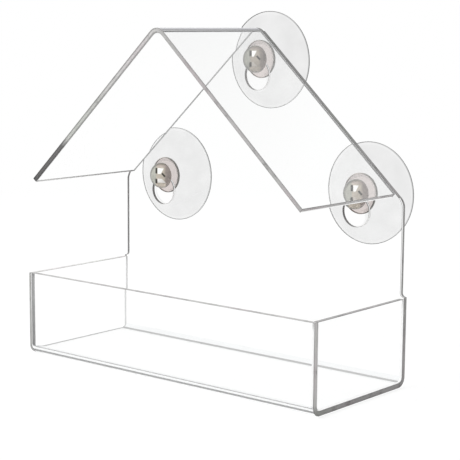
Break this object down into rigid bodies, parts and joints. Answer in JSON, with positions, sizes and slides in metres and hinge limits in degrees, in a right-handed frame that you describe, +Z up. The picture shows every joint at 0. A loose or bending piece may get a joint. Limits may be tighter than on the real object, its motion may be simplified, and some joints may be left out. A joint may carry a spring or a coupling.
{
  "type": "window bird feeder",
  "caption": "Clear acrylic window bird feeder: a house-shaped back panel with a bent gable roof over an open seed tray, held to the glass by suction cups in keyhole slots.",
  "frame": {"origin": "middle of the tray floor's underside", "axes": "+Z up, +Y towards the window, -Y towards the garden side that the tray's front wall faces, +X to the right seen from the front"},
  "size_m": [0.15, 0.0699, 0.145],
  "materials": {
    "clear_acrylic": "clear, polished faces, sawn edges",
    "clear_soft_plastic": "clear soft moulding, glossy head"
  },
  "bodies": {
    "feeder": {"body_sheet": "clear_acrylic", "roof_sheet": "clear_acrylic", "left_side_panel": "clear_acrylic", "right_side_panel": "clear_acrylic"},
    "top_cup": {"top_suction_cup": "clear_soft_plastic"},
    "left_cup": {"left_suction_cup": "clear_soft_plastic"},
    "right_cup": {"right_suction_cup": "clear_soft_plastic"}
  },
  "joints": [
    {"name": "top_cup_slide", "type": "slide", "parent": "feeder", "child": "top_cup", "axis": [0, 0, 1], "range_m": [-0.0065, 0]},
    {"name": "left_cup_slide", "type": "slide", "parent": "feeder", "child": "left_cup", "axis": [0, 0, 1], "range_m": [-0.0065, 0]},
    {"name": "right_cup_slide", "type": "slide", "parent": "feeder", "child": "right_cup", "axis": [0, 0, 1], "range_m": [-0.0065, 0]}
  ]
}
